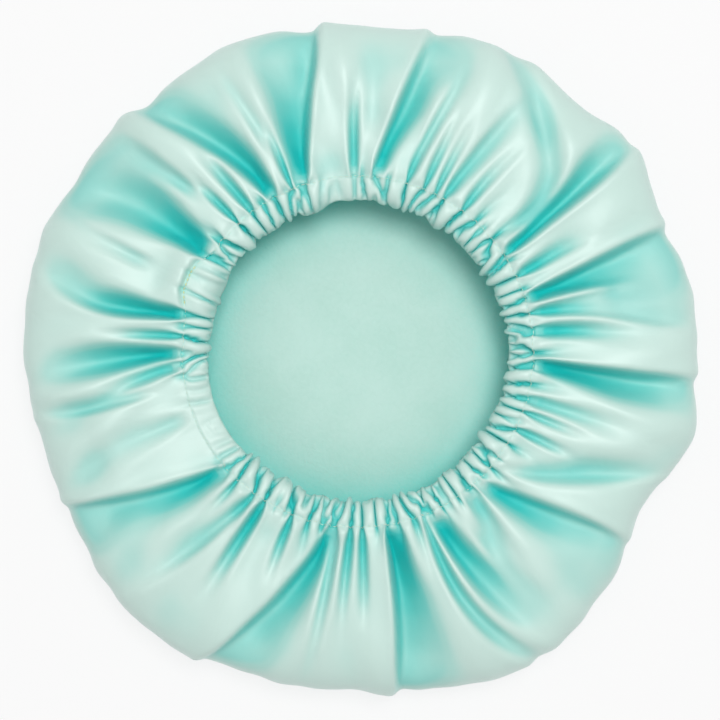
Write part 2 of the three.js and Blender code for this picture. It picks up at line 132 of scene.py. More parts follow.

# The brim's folds. Each is a valley that runs from the mouth towards the rim:
# (angle at the mouth, half way and at the rim, depth in millimetres, its width to the lower and
# to the higher angle in degrees, shares of the brim where it starts and ends).
# A fold that ends past 1 is still open at the rim. A negative depth is a ridge.
FOLDS = [
    (6.5, 5.5, 4.5, 6, 3, 3.5, -0.1, 0.5),
    (12.5, 9, 5.5, 4.5, 1.6, 5, 0, 1),
    (17.5, 21, 22.5, 10, 6, 2, 0, 1.4),
    (16, 15, 14, 4, 8, 8, 0.45, 1.4),
    (15.5, 15.5, 15, -4, 2, 2, 0.05, 0.6),
    (25.5, 27.5, 28, 6, 2, 4, -0.1, 0.42),
    (33.5, 36.8, 39, 11, 2.2, 3.5, -0.2, 1.2),
    (38, 43.5, 64, 6, 3, 4, 0.1, 1.4),
    (53.5, 52.5, 52, 3, 2, 3, 0, 0.55),
    (60.5, 58.5, 56, 4, 4, 2, 0, 0.8),
    (64, 64, 64, 3, 1.5, 1.5, -0.2, 0.4),
    (68, 67.5, 67, 3, 1.5, 1.5, -0.2, 0.4),
    (74, 71, 69, 4, 2.5, 1.5, -0.1, 0.75),
    (84.5, 79.8, 77, 8, 5, 1.6, -0.1, 1.4),
    (87, 86, 86, 3, 4, 4, 0.3, 0.95),
    (91.2, 91, 90, 5, 2, 2, -0.2, 0.6),
    (107.5, 101.5, 98, 11, 1.6, 8, -0.2, 1.4),
    (112, 112, 112, 5, 1.5, 1.5, -0.2, 0.35),
    (112.5, 114.5, 116, 3.5, 3, 2, 0.3, 0.95),
    (118.5, 124.3, 130, 10, 5, 3, -0.1, 1.4),
    (127, 128, 129, 6, 2.5, 2.5, -0.2, 0.4),
    (133, 133.5, 134, 5, 1.8, 1.8, -0.2, 0.3),
    (134.5, 136, 137.5, 4, 2, 3, 0.3, 0.95),
    (147, 145.5, 147, 12, 6.5, 5, -0.1, 1.4),
    (157.5, 155.5, 153, 3, 1.5, 3, 0.3, 0.9),
    (167.8, 168.8, 162, 10, 4.5, 2.2, -0.1, 0.95),
    (175, 175, 175, 4, 2, 2, -0.2, 0.45),
    (180.2, 181.5, 181, 10, 4, 3.5, -0.2, 0.95),
    (184, 189, 190.5, 8, 4.5, 2.5, -0.2, 0.45),
    (190, 191.3, 189, 3.5, 3, 1.2, 0.25, 1.4),
    (199, 199, 198, 3, 8, 8, 0.6, 1.4),
    (201, 201, 201, 3.5, 4, 4, 0.05, 0.5),
    (221.5, 213, 207, 10, 2, 7, -0.1, 1.4),
    (234, 229, 223, 5, 5, 1.4, 0.05, 0.95),
    (238, 237, 236.5, 7, 2.5, 2.5, -0.2, 0.55),
    (248, 248, 248, 5, 2, 2, -0.2, 0.3),
    (261.5, 251.5, 242.5, 10, 1.6, 6, -0.1, 1.4),
    (263.5, 261.5, 260, 4, 2, 2, 0.1, 0.95),
    (267.5, 266, 266, 5, 1.8, 2.2, -0.2, 0.55),
    (271.5, 271, 270, 4, 1.8, 1.8, -0.2, 0.5),
    (280, 279, 277, 11, 1.6, 7, -0.2, 1.4),
    (292.3, 293, 301, 6, 1.8, 3, -0.1, 1.4),
    (294.5, 299, 306, 10, 3, 6, -0.1, 0.95),
    (309, 307, 308, 7, 5, 4, -0.2, 0.28),
    (303, 306, 311, 4, 3, 5, 0.2, 0.8),
    (313, 322, 325, 9, 8, 1.8, 0.05, 1.2),
    (320, 331, 341, 5, 2, 5, 0.1, 1.2),
    (334, 335, 336, 5, 2, 2, -0.2, 0.3),
    (340, 340, 340, 4, 2, 2, -0.2, 0.3),
    (344.5, 344.5, 345, 4, 3, 3, -0.2, 0.5),
    (356, 355.5, 356, 10, 5, 2, -0.1, 1.3),
]
FOLD_GROWTH = 0.16  # a fold grows to its depth over this share of the brim
FOLD_OVERRUN = 0.15  # and has faded out this far past its end
FOLD_FAN = (0.6, 2.5)  # a wide wall is narrower at the mouth and wider at the rim
CRISP_FAN = 0.85
CRISP_WIDTHS = (1.8, 4.5)  # walls are crisp up to the first width, and soft from the second on
WALL_HOLLOW = 1.8
CREST_SHARE = 0.2  # height of a sharp crest, as a share of its fold's depth
CREST_FALL = 0.9
RIM_FOLD_SHARE = 0.6  # part of a fold's depth at the rim
VALLEY_ROUND = 0.45  # share of a wall's width over which the bottom of a fold is rounded
MOUTH_FOLD_SHARE = 0.3  # part of a fold's depth at the stitch row
MOUTH_FOLD_END = 0.1  # share of the brim where it has all of it
RIM_FOLD_START = 0.72  # share of the brim where it starts to flatten
# How much deeper than laid a ring's folds may be for its length of cloth, found by halving
LEAST_DEEPENING = 0.5
MOST_DEEPENING = 3.2
DEEPENING_STEPS = 10
EVEN_ROWS = 6  # rows to each side over which the deepening is evened out

# Spacing of the fine gathers along the elastic, in degrees: (angle, spacing)
GATHER_SPACING = [
    (20, 6), (60, 4.5), (98, 9), (130, 9), (157, 10), (203, 9), (240, 4.8), (290, 7.5), (335, 7),
]
# How strong the gathers are: the casing lies nearly flat in two places, and at the join
GATHER_STRENGTH = [
    (20, 1), (60, 0.9), (86, 0.6), (98, 0.08), (107, 0.8), (130, 1.1), (150, 0.8), (157, 0.15),
    (165, 0.8), (175, 1), (191, 0.3), (203, 0.08), (214, 0.2), (226, 1), (240, 1), (290, 1), (335, 1),
]
GATHER_SEED = 11
SPACING_RANGE = (0.45, 1.55)  # least and most share of the spacing between two gathers
RIDGE_RANGE = (0.3, 1.15)  # least and most share of a gather's height
RIDGE_ROUND = 0.75  # below 1, a gather is fuller than a sine
FULL_SPACING = 5  # degrees that a gather needs for its height
SPACING_HEIGHTS = (0.4, 1.2)  # least and most share of the height for narrower and wider gathers
GATHER_REACH = (0.1, 0.42)  # share of the brim over which a gather dies out, least and most
GATHER_SLANT = 4  # degrees by which gathers lean between the lip and the brim
SLANT_WAVES = [(7, 40, 1), (17, 0, 0.7)]  # (leanings round the mouth, shift in degrees, share)
SEAM_HOLD = 0.3  # part of a gather's height that the stitch row takes off
SEAM_END = 0.05  # share of the brim where a gather has all of it

# Broad waves of the brim between the folds: how many round the bag, and how far they drift in degrees
UNDULATION = 0.9 * MM
WAVES = 10
WAVE_COUNTS = (14, 42)
WAVE_DRIFT = 500
WAVE_SEED = 3
WAVE_GROWTH = (0.1, 0.5)  # shares of the brim between which they grow
WAVE_FADE = 0.7  # share of the brim where they start to fade
RIM_WAVE_SHARE = 0.3  # part of them that is left at the rim

# Small crumples at the rim: how many round it, and the sum of all that counts as full
RIM_CRUMPLE = 0.45 * MM
CRUMPLE_COUNTS = (13, 21, 34, 47, 59)
CRUMPLE_SUM = 3
CRUMPLE_START = 0.6  # share of the brim where they start

# How the cloth settles. Shares are per round.
ROUNDS = 400
LAID_CLOTH = 0.48  # share of the gathered cloth that the laid folds take up
LOOSE_CLOTH = 0.48  # share that the settled cloth takes up; the rest is pressed into the seam
INERTIA = 0.9
SPRING_SHARE = 0.35
SLANT_STRENGTH = 0.3
RING_BEND = 0.015
ROW_BENDS = [(1, 0.05), (2, 0.05), (4, 0.012)]  # (rows to each side, share)
SAG = 0.002 * MM
CASING_PUSH = 0.006 * MM
LAID_PULL = 0.008
LAID_START = 0.12  # share of the brim from which on the laid folds keep their own lengths
RIM_PULL = 0.1
RIM_PULL_START = 0.86
TURN_PULL = 0.3
FLOOR_SHARE = 0.9  # share of its laid height that low cloth keeps
FLOOR_LIMIT = 0.5 * RIM_HEIGHT  # higher cloth may sink as far as cloth laid here
# Most folds round the ring, at shares of the way from the mouth to the rim, and how fast more die out
FOLD_COUNTS = [(0, 160), (0.1, 70), (0.3, 36), (0.6, 26), (1, 22)]
COUNT_DAMPING = 0.08
COUNT_EDGE = 4  # how sharply the damping sets in
LEAST_STEP = math.radians(0.1)
LEAST_LENGTH = 1e-6
LEAST_AREA = 1e-9
# The casing's upper ply stays between the tunnel's half and the most gather over its plane
HELD_ROWS = 6  # rows past the stitch row that are held too
SEAM_SHARE = 0.3  # share of the tunnel's half that is the least height there
MOST_GATHER = 11 * MM
MOST_SEAM = (6 * MM, 5 * MM, 6 * MM)  # before, on and after the stitch row
EASE_ALONG = 10  # times that the settled folds are evened out along their length, and across
EASE_ROUND = 2
EASE_START = (0, 0.1)  # shares of the brim between which the evening out sets in

# Painted shade of the satin in its folds, deeper under the crests round it and on steep walls. Crests are
# looked for so many columns to each side: casing, brim and rim
CREST_REACH = (5, 13, 26)
WIDE_FOLDS = (0.25, 0.8)  # shares of the brim between which the folds widen
# At shares of the brim: the depths under the crests where pale ridges end and where pockets begin,
# the pockets' painted shade, and the painted shade that is added where the satin is steep
RIDGE_DEPTH = [(0, 0.5 * MM), (0.1, 1.5 * MM), (0.5, 2 * MM), (0.8, 1.5 * MM), (1, 0.3 * MM)]
POCKET_DEPTH = [(0, 6 * MM), (0.1, 10 * MM), (0.5, 9 * MM), (0.8, 6 * MM), (1, 3 * MM)]
POCKET_PAINTED_SHADE = [(0, 0.8), (0.12, 1), (0.3, 0.7), (0.55, 0.43), (0.8, 0.37), (1, 0.55)]
STEEP_PAINTED_SHADE = [(0, 0.45), (0.7, 0.45), (1, 0.12)]
STEEP_POWER = 2
HOLLOW_SHARE = 0.22  # share of the tone that shallow hollows have too
HOLLOW_DEPTH = 3 * MM

# Weave and creases of both cloths
WEAVE_DEPTH = 0.03 * MM
WEFT_SHARE = 0.4
CREASE_NOISE = {"Detail": 2, "Roughness": 0.45, "Distortion": 0.6}
# Painted shade where other cloth is near, found by ambient occlusion
SHADE_SAMPLES = 8
OPEN_SHARE = 0.9  # share of open surroundings from which on the colour is plain

# Satin
# From the satin's own pale mint on the ridges to painted shade, a deep turquoise, in the deepest pockets
SATIN_COLOURS = [
    (0, (0.62, 0.83, 0.76)), (0.3, (0.45, 0.77, 0.70)), (0.55, (0.28, 0.71, 0.65)),
    (0.8, (0.10, 0.64, 0.60)), (1, (0.0, 0.50, 0.49)),
]
# Painted shade where other satin lies within reach
SATIN_PAINTED_SHADE = (0.0, 0.62, 0.59)
FOLD_REACH = 40 * MM
FOLD_SHUT = 0  # share of open surroundings at which only the shade shows
POCKET_ROUGHNESS = (0.45, 0.8)  # on the ridges and in the pockets
POCKET_GLOSS = (0.65, 0)
GLOSS_END = 0.6  # tone at which the gloss has gone
SATIN_FINISH = {
    "Coat Roughness": 0.42, "Coat IOR": 1.7, "Specular IOR Level": 0.4, "Anisotropic": 0.35,
    "Sheen Weight": 0.25, "Sheen Roughness": 0.35,
}
SATIN_CREASES = 55
SATIN_CREASE_BUMP = (1.1 * MM, 0.5)  # depth and strength, as in the other bumps
SATIN_THREADS = 2 * math.pi / (0.15 * MM)
SATIN_WEAVE_BUMP = (WEAVE_DEPTH, 0.3)

# Lining
LINING_COLOURS = [(0.35, (0.54, 0.82, 0.73)), (1, (0.61, 0.87, 0.79))]
# Painted shade of the lining inside the bag and under the lip, where the bag's cloth is within reach
LINING_PAINTED_SHADE = (0.0, 0.88, 0.80)
BAG_REACH = 45 * MM
BAG_SHUT = 0.4
LINING_FINISH = {"Roughness": 0.85, "Sheen Weight": 0.15}
LINING_MOTTLE = 28
LINING_GRAIN = 420
GRAIN_SHARE = 0.45  # strength of the grain in the colour, against the mottle
LINING_GRAIN_BUMP = (0.5 * MM, 0.35)
LINING_THREADS = 2 * math.pi / (0.4 * MM)
LINING_WEAVE_BUMP = (WEAVE_DEPTH, 0.6)

# Thread and elastic
MINT_COLOURS = [(0.2, (0.60, 0.78, 0.68)), (0.8, (0.80, 0.88, 0.76))]
YELLOW_COLOURS = [(0.2, (0.70, 0.74, 0.30)), (0.8, (0.84, 0.86, 0.50))]
THREAD_FINISH = {"Roughness": 0.6, "Sheen Weight": 0.2}
THREAD_TWIST = {"wave_type": "BANDS", "bands_direction": "DIAGONAL", "scale": 900, "strength": 0.5}
ELASTIC_COLOURS = [(0.2, (0.62, 0.64, 0.62)), (0.8, (0.84, 0.85, 0.83))]
ELASTIC_FINISH = {"Roughness": 0.75}
ELASTIC_RIBS = {"wave_type": "RINGS", "rings_direction": "Z", "scale": 500, "strength": 0.8}

# Studio
FLOOR_HALF = 6.0
FLOOR_GAP = 0.5 * MM
FLOOR_FINISH = {"Base Color": (0.85, 0.85, 0.85, 1), "Roughness": 0.9}
FLOOR_GLOW = 0.8
WORLD_LIGHT = (0.34, 0.5)  # at the horizon and overhead
LAMPS = [
    ("key", (0.25, 0.4, 1.7), 0.7, 15.8),
    ("fill", (-1.0, -0.4, 1.0), 0.7, 1),
]
LENS = 85
PICTURE_WIDTH = 720
BONNET_WIDTH = 674  # in the same pixels


def smooth(value, low, high):
    """Eased step from 0 at low to 1 at high."""
    t = np.clip((value - low) / (high - low), 0, 1)
    return t * t * (3 - 2 * t)


def around(pairs, angles):
    """Eased values of a closed list of (angle, value) pairs."""
    known = np.array(pairs, float)
    known = np.vstack([known[-1] - (360, 0), known, known[0] + (360, 0)])
    turned = np.mod(angles, 360)
    index = np.clip(np.searchsorted(known[:, 0], turned, side="right") - 1, 0, len(known) - 2)
    low, high = known[index], known[index + 1]
    share = smooth(turned, low[..., 0], high[..., 0])
    return low[..., 1] + (high[..., 1] - low[..., 1]) * share


def away_from(angles, centre):
    """Angles from a centre, between -180 and 180."""
    return np.mod(angles - centre + 180, 360) - 180


def bezier(corners, t):
    """Points and unit tangents of a cubic curve in (radius, height)."""
    a, b, c, d = (np.array(p, float) for p in corners)
    t = np.asarray(t, float)[:, None]
    point = (1 - t) ** 3 * a + 3 * (1 - t) ** 2 * t * b + 3 * (1 - t) * t**2 * c + t**3 * d
    slope = (1 - t) ** 2 * (b - a) + 2 * (1 - t) * t * (c - b) + t**2 * (d - c)
    return point, slope / np.linalg.norm(slope, axis=1, keepdims=True)


def on_casing(along, out):
    """Radius and height of a point of the casing: along it from the lip, and out of its plane."""
    radius = LIP_RADIUS + along * math.cos(CASING_SLOPE) - out * math.sin(CASING_SLOPE)
    height = LIP_HEIGHT + along * math.sin(CASING_SLOPE) + out * math.cos(CASING_SLOPE)
    return radius, height


def polar(angles, radius, height, mouth_share):
    """Points at angles in degrees; the mouth's centre fades out towards the rim."""
    turn = np.radians(angles)
    x = MOUTH_CENTRE[0] * mouth_share + radius * np.cos(turn)
    y = MOUTH_CENTRE[1] * mouth_share + radius * np.sin(turn)
    return np.stack(np.broadcast_arrays(x, y, height), axis=-1)


BRIM_SECTION = [
    on_casing(CASING_WIDTH, 0),
    on_casing(CASING_WIDTH + BRIM_RUN * BRIM_PUFF, 0),
    (RIM_RADIUS + RIM_TURN, RIM_HEIGHT + RIM_LIFT * BRIM_PUFF),
    (RIM_RADIUS, RIM_HEIGHT),
]
TURN_SECTION = [
    (RIM_RADIUS, RIM_HEIGHT),
    (RIM_RADIUS, RIM_DROP * RIM_HEIGHT),
    (CROWN_FLAT_RADIUS + CROWN_REACH * (RIM_RADIUS - CROWN_FLAT_RADIUS), 0),
    (CROWN_FLAT_RADIUS, 0),
]
STITCH_RADIUS = BRIM_SECTION[0][0]
ANGLES = np.arange(COLUMNS) * 360 / COLUMNS
RIM = RIM_RADIUS + around(RIM_OUTLINE, ANGLES) * MM


def fold_height(angles, share):
    """Height of the laid folds over the plain brim, at angles and at a share of the way to the rim.

    Each side of a fold is a wall that rises from the valley. A narrow wall ends in a sharp crest.
    """
    total = np.zeros(np.broadcast(angles, share).shape)
    s = np.clip(share, 0, 1)
    for mouth, middle, rim, depth, low_width, high_width, start, end in FOLDS:
        path = mouth + (4 * middle - 3 * mouth - rim) * s + (2 * mouth + 2 * rim - 4 * middle) * s**2
        away = away_from(angles, path)
        width = np.where(away < 0, low_width, high_width)
        crisp = 1 - smooth(width, *CRISP_WIDTHS)
        fan = FOLD_FAN[0] + (FOLD_FAN[1] - FOLD_FAN[0]) * s
        width = width * (crisp * CRISP_FAN + (1 - crisp) * fan)
        bottom = VALLEY_ROUND * width
        across = (np.hypot(away, bottom) - bottom) / (np.hypot(width, bottom) - bottom)
        wall = -np.clip(1 - across, 0, 1) ** WALL_HOLLOW
        crest = np.where(across < 1, across**2, np.exp(CREST_FALL * (1 - across)))
        grown = smooth(share, start - FOLD_GROWTH / 2, start + FOLD_GROWTH / 2)
        faded = np.clip(1 - (np.maximum(share, 0) / (end + FOLD_OVERRUN)) ** 2, 0, 1) ** 2
        total += depth * MM * (wall + CREST_SHARE * crisp * crest) * grown * faded
    return total


def gather_ridges():
    """Angles of the valleys between the fine gathers, and each ridge's height and reach."""
    draw = np.random.RandomState(GATHER_SEED)
    valleys = [0.0]
    while valleys[-1] < 360:
        spacing = float(around(GATHER_SPACING, np.array(valleys[-1])))
        valleys.append(valleys[-1] + spacing * draw.uniform(*SPACING_RANGE))
    valleys = np.array(valleys) * 360 / valleys[-1]
    for mouth, *_, start, _ in FOLDS:
        if start <= 0:
            valleys[1 + np.argmin(np.abs(valleys[1:-1] - mouth))] = mouth
    valleys = np.unique(valleys)
    count = len(valleys) - 1
    return valleys, draw.uniform(*RIDGE_RANGE, count), draw.uniform(*GATHER_REACH, count)


VALLEYS, RIDGES, REACHES = gather_ridges()


def gather_heights(share):
    """Heights of the fine gathers at a share of the way from lip to stitch row, and their reach."""
    waves = (part * np.sin(np.radians(count * ANGLES + shift)) for count, shift, part in SLANT_WAVES)
    angles = np.mod(ANGLES + GATHER_SLANT * sum(waves) * (share - 1), 360)
    index = np.clip(np.searchsorted(VALLEYS, angles, side="right") - 1, 0, len(RIDGES) - 1)
    width = VALLEYS[index + 1] - VALLEYS[index]
    across = (angles - VALLEYS[index]) / width
    ridge = np.sin(np.pi * across) ** RIDGE_ROUND * RIDGES[index]
    ridge *= np.clip(width / FULL_SPACING, *SPACING_HEIGHTS)
    return ridge * around(GATHER_STRENGTH, ANGLES), REACHES[index]


def undulation(share):
    """Broad soft waves of the loose cloth, at a share of the way to the rim; about -1 to 1."""
    draw = np.random.RandomState(WAVE_SEED)
    total = np.zeros(np.broadcast(ANGLES, share).shape)
    for count in draw.randint(*WAVE_COUNTS, WAVES):
        start, drift = draw.uniform(0, 360), draw.uniform(-WAVE_DRIFT, WAVE_DRIFT)
        total += np.sin(np.radians(count * ANGLES + start + drift * share))
    return total * math.sqrt(2 / WAVES)


def crumple():
    """Small irregular waves round the rim, about -1 to 1."""
    draw = np.random.RandomState(GATHER_SEED)
    waves = [(count, draw.uniform(0, 360)) for count in CRUMPLE_COUNTS]
    return sum(np.sin(np.radians(count * ANGLES + shift)) for count, shift in waves) / CRUMPLE_SUM


JOIN = np.exp(-((away_from(ANGLES, JOIN_ANGLE) / JOIN_PUFF_WIDTH) ** JOIN_EDGE))


def ring_lengths(points):
    """Length of each ring of points."""
    return np.linalg.norm(np.roll(points, -1, axis=1) - points, axis=2).sum(axis=1)


def way_along(line):
    """Length of the way along a line to each of its points."""
    return np.concatenate([[0], np.cumsum(np.linalg.norm(np.diff(line, axis=0), axis=1))])


def cut_radii(section):
    """Radius of each ring in the flat cut."""
    along = way_along(section)
    return CROWN_FLAT_RADIUS + along[-1] - along


def gathered_lengths(section, share):
    """Length of cloth in each ring, where a share of what the flat cut has is left loose."""
    return 2 * math.pi * (section[:, 0] + share * (cut_radii(section) - section[:, 0]))


def casing_ring(share, arch, gather_share, puff, side):
    """A ring of the casing at a share of its width; side is 1 over the elastic and -1 below it."""
    gathers, _ = gather_heights(share)
    scallop = LIP_SCALLOP * (gathers - LIP_NOTCH) + JOIN_LIP * JOIN
    along = (CASING_WIDTH + JOIN_WIDENING * JOIN) * share - scallop * max(1 - share, 0) ** 2
    turn = math.sqrt(1 - (1 - min(share / LIP_TURN, 1)) ** 2)
    full = LIP_FULLNESS * turn + (1 - LIP_FULLNESS) * arch
    out = TUNNEL_HALF * turn + gather_share * GATHER_HEIGHT * gathers * full + puff * JOIN * arch
    return polar(ANGLES, *on_casing(along, side * out), 1)


def upper_ply():
    """Rings of the casing's ply over the elastic, from the lip to just before the stitch row."""
    shares = np.arange(CASING_ROWS) / CASING_ROWS
    arches = [math.sin(math.pi * share**ARCH_LEAN) ** ARCH_FULLNESS for share in shares]
    return np.array([casing_ring(share, arch, 1, JOIN_PUFF, 1) for share, arch in zip(shares, arches)])


def lower_ply():
    """Rings of the casing's ply below the elastic, from the lip to a little past the stitch row."""
    shares = np.append(np.arange(1, CASING_ROWS, 2) / CASING_ROWS, (1, 1 + EDGE_SHARE))
    arches = [max(math.sin(math.pi * share), 0) for share in shares]
    rings = [casing_ring(share, arch, LOWER_PLY_SHARE, 0, -1) for share, arch in zip(shares, arches)]
    return np.array(rings)


def brim_start(section, tangent, wanted):
    """Rings of the brim with the laid folds, as deep as the wanted ring lengths ask for."""
    share = (section[:, :1] - STITCH_RADIUS) / (RIM_RADIUS - STITCH_RADIUS)
    spread = (RIM - STITCH_RADIUS) / (RIM_RADIUS - STITCH_RADIUS)
    open_fold = smooth(share, 0, MOUTH_FOLD_END)
    folds = fold_height(ANGLES, share) * (MOUTH_FOLD_SHARE + (1 - MOUTH_FOLD_SHARE) * open_fold)
    heights, reach = gather_heights(1)
    fade = (1 - smooth(share, 0, reach)) * (1 - SEAM_HOLD + SEAM_HOLD * smooth(share, 0, SEAM_END))
    gathers = GATHER_HEIGHT * heights * fade + SEAM_OFFSET * TUNNEL_HALF * (1 - open_fold)
    gathers += COLLAR * JOIN * smooth(share, 0, COLLAR_TOP) * (1 - smooth(share, COLLAR_TOP, COLLAR_END))
    gathers += RIM_CRUMPLE * crumple() * smooth(share, CRUMPLE_START, 1)
    waves = UNDULATION * undulation(share) * smooth(share, *WAVE_GROWTH)
    gathers += waves * (1 - (1 - RIM_WAVE_SHARE) * smooth(share, WAVE_FADE, 1))

    def raised(rise):
        slide = JOIN_WIDENING * JOIN * (1 - smooth(share, 0, JOIN_SLIDE))
        radius = STITCH_RADIUS + (section[:, :1] - STITCH_RADIUS) * spread
        radius = radius + tangent[:, :1] * slide - tangent[:, 1:] * rise
        height = section[:, 1:] + tangent[:, 1:] * slide + tangent[:, :1] * rise
        return polar(ANGLES, radius, height, 1 - smooth(share, 0, 1))

    low = np.full((len(section), 1), LEAST_DEEPENING)
    high = np.full((len(section), 1), MOST_DEEPENING)
    for _ in range(DEEPENING_STEPS):
        middle = (low + high) / 2
        short = (ring_lengths(raised(folds * middle + gathers)) < wanted)[:, None]
        low = np.where(short, middle, low)
        high = np.where(short, high, middle)
    window = np.ones(2 * EVEN_ROWS + 1) / (2 * EVEN_ROWS + 1)
    steady = np.convolve(np.pad(low[:, 0], EVEN_ROWS, mode="edge"), window, mode="valid")[:, None]
    steady = steady * (1 - (1 - RIM_FOLD_SHARE) * smooth(share, RIM_FOLD_START, 1))
    return raised(folds * steady + gathers), share[:, 0]


def start_cloth():
    """The cloth before it settles: its rings, the plain section, and each ring's way to the rim."""
    casing_section = np.array([on_casing(CASING_WIDTH * i / CASING_ROWS, 0) for i in range(CASING_ROWS)])
    brim_section, tangent = bezier(BRIM_SECTION, np.linspace(0, 1, BRIM_ROWS + 1) ** ROW_GROWTH)
    turn_section, _ = bezier(TURN_SECTION, np.linspace(0, 1, TURN_ROWS + 1)[1:])
    section = np.concatenate([casing_section, brim_section, turn_section])
    wanted = gathered_lengths(section, LAID_CLOTH)[STITCH_ROW:RIM_ROW + 1]
    brim, share = brim_start(brim_section, tangent, wanted)
    turned = (turn_section[:, :1] - CROWN_FLAT_RADIUS) / (RIM_RADIUS - CROWN_FLAT_RADIUS)
    turn = polar(ANGLES, CROWN_FLAT_RADIUS + (RIM - CROWN_FLAT_RADIUS) * turned, turn_section[:, 1:], 0)
    turn += (brim[-1] - polar(ANGLES, RIM, RIM_HEIGHT, 0)) * turned[..., None] ** 2
    share = np.concatenate([np.zeros(CASING_ROWS), share, np.ones(TURN_ROWS)])
    return np.concatenate([upper_ply(), brim, turn]), section, share


def add_springs(points, move, down, across, rest, strength):
    """Adds to move what brings points, so many rows down and columns across, to their rest length."""
    first = points[:len(points) - down]
    second = np.roll(points[down:], -across, axis=1)
    away = second - first
    length = np.sqrt(np.einsum("rcx,rcx->rc", away, away))[..., None]
    part = away * (strength / 2 * (1 - rest / np.maximum(length, LEAST_LENGTH)))
    move[:len(points) - down] += part
    move[down:] -= np.roll(part, across, axis=1)


def ring_bend(points):
    """What straightens the cloth along its rings."""
    curve = np.roll(points, 1, 1) + np.roll(points, -1, 1) - 2 * points
    return np.roll(curve, 1, 1) + np.roll(curve, -1, 1) - 2 * curve


def row_bend(points, laid, step):
    """What brings the cloth, from the stitch row to the crown, back to its laid curve."""
    off = points - laid
    curve = np.zeros_like(off)
    curve[step:-step] = off[2 * step:] + off[:-2 * step] - 2 * off[step:-step]
    curve[:STITCH_ROW + step] = 0
    bend = np.zeros_like(off)
    bend[step:-step] = curve[2 * step:] + curve[:-2 * step] - 2 * curve[step:-step]
    bend[:STITCH_ROW + 1] = 0
    return bend


def outward(points):
    """Unit normals of the rings of points, out of the bag."""
    ahead = np.roll(points, -1, 1) - np.roll(points, 1, 1)
    down = np.zeros_like(points)
    down[1:-1] = points[2:] - points[:-2]
    normal = np.cross(down, ahead)
    return normal / np.maximum(np.linalg.norm(normal, axis=2, keepdims=True), LEAST_AREA)


def hold_casing(points):
    """Keeps the casing's ply over the elastic, and the stitch row on its line."""
    rows = STITCH_ROW + HELD_ROWS
    least = np.full(rows, TUNNEL_HALF)
    least[STITCH_ROW - 1:] = SEAM_SHARE * TUNNEL_HALF
    least[0] = -TUNNEL_HALF
    most = np.full(rows, MOST_GATHER)
    most[STITCH_ROW - 1:STITCH_ROW + 2] = MOST_SEAM
    part = points[:rows]
    x, y = part[..., 0] - MOUTH_CENTRE[0], part[..., 1] - MOUTH_CENTRE[1]
    radius = np.hypot(x, y)
    over, up = radius - LIP_RADIUS, part[..., 2] - LIP_HEIGHT
    cosine, sine = math.cos(CASING_SLOPE), math.sin(CASING_SLOPE)
    along, out = over * cosine + up * sine, up * cosine - over * sine
    along[STITCH_ROW] = CASING_WIDTH + JOIN_WIDENING * JOIN
    out = np.clip(out, least[:, None], most[:, None])
    new_radius, part[..., 2] = on_casing(along, out)
    part[..., 0] = MOUTH_CENTRE[0] + x * new_radius / radius
    part[..., 1] = MOUTH_CENTRE[1] + y * new_radius / radius


def keep_apart(points):
    """Keeps each ring's points in order round the bag, so that no fold runs through another."""
    angles = np.unwrap(np.arctan2(points[..., 1], points[..., 0]), axis=1)
    ahead = np.roll(angles, -1, axis=1)
    ahead[:, -1] += 2 * math.pi
    short = np.maximum(LEAST_STEP - (ahead - angles), 0) / 2
    turn = (np.roll(short, 1, axis=1) - short)[..., None]
    points[..., :2] += turn * np.stack([-points[..., 1], points[..., 0]], axis=-1)


def settle(laid, section, share):
    """The laid cloth after it has buckled: rings keep their length and rows stay nearly straight."""
    laid = laid.astype(np.float32)
    loose = gathered_lengths(section, LOOSE_CLOTH) / (2 * math.pi * section[:, 0]) - 1
    strength = around(GATHER_STRENGTH, ANGLES)
    strength = strength + (1 - strength) * smooth(share, 0, GATHER_REACH[1])[:, None]
    hoop = 2 * math.pi * section[:, :1] / COLUMNS * (1 + loose[:, None] * strength)
    spans = np.linalg.norm(np.roll(laid, -1, axis=1) - laid, axis=2)
    on_brim = smooth(share, 0, LAID_START)[:, None]
    hoop = (hoop + (spans - hoop) * on_brim).astype(np.float32)[..., None]
    gap = np.linalg.norm(np.diff(section, axis=0), axis=1).astype(np.float32)[:, None, None]
    slant = np.sqrt(((hoop[1:] + hoop[:-1]) / 2) ** 2 + gap**2)
    pull = LAID_PULL + RIM_PULL * smooth(share, RIM_PULL_START, 1)
    pull[RIM_ROW + 1:] = TURN_PULL
    pull = pull.astype(np.float32)[:, None, None]
    count = np.interp(share, *zip(*FOLD_COUNTS))
    wave = (np.arange(COLUMNS // 2 + 1) / count[:, None]) ** COUNT_EDGE
    damping = (1 - COUNT_DAMPING * wave / (1 + wave))[..., None].astype(np.float32)
    push = np.full((len(laid), 1, 1), -SAG, np.float32)
    push[:STITCH_ROW + 2] = CASING_PUSH
    floor = FLOOR_SHARE * np.minimum(laid[..., 2], FLOOR_LIMIT)

    springs = [(0, 1, hoop, 1), (1, 0, gap, 1)]
    springs += [(1, across, slant, SLANT_STRENGTH) for across in (1, -1)]
    points, before = laid.copy(), laid.copy()
    for _ in range(ROUNDS):
        points, before = points + INERTIA * (points - before), points
        move = np.zeros_like(points)
        for spring in springs:
            add_springs(points, move, *spring)
        points = points + SPRING_SHARE * move
        for step, strength in ROW_BENDS:
            points = points - strength * row_bend(points, laid, step)
        points = points - RING_BEND * ring_bend(points - laid)
        change = np.fft.rfft(points - laid, axis=1) * damping
        points = laid + np.fft.irfft(change, COLUMNS, axis=1).astype(np.float32)
        points = points + push * outward(points)
        points = points + pull * (laid - points)
        keep_apart(points)
        hold_casing(points)
        points[0] = laid[0]
        points[-1] = laid[-1]
        points[..., 2] = np.maximum(points[..., 2], floor)
    return points.astype(float)


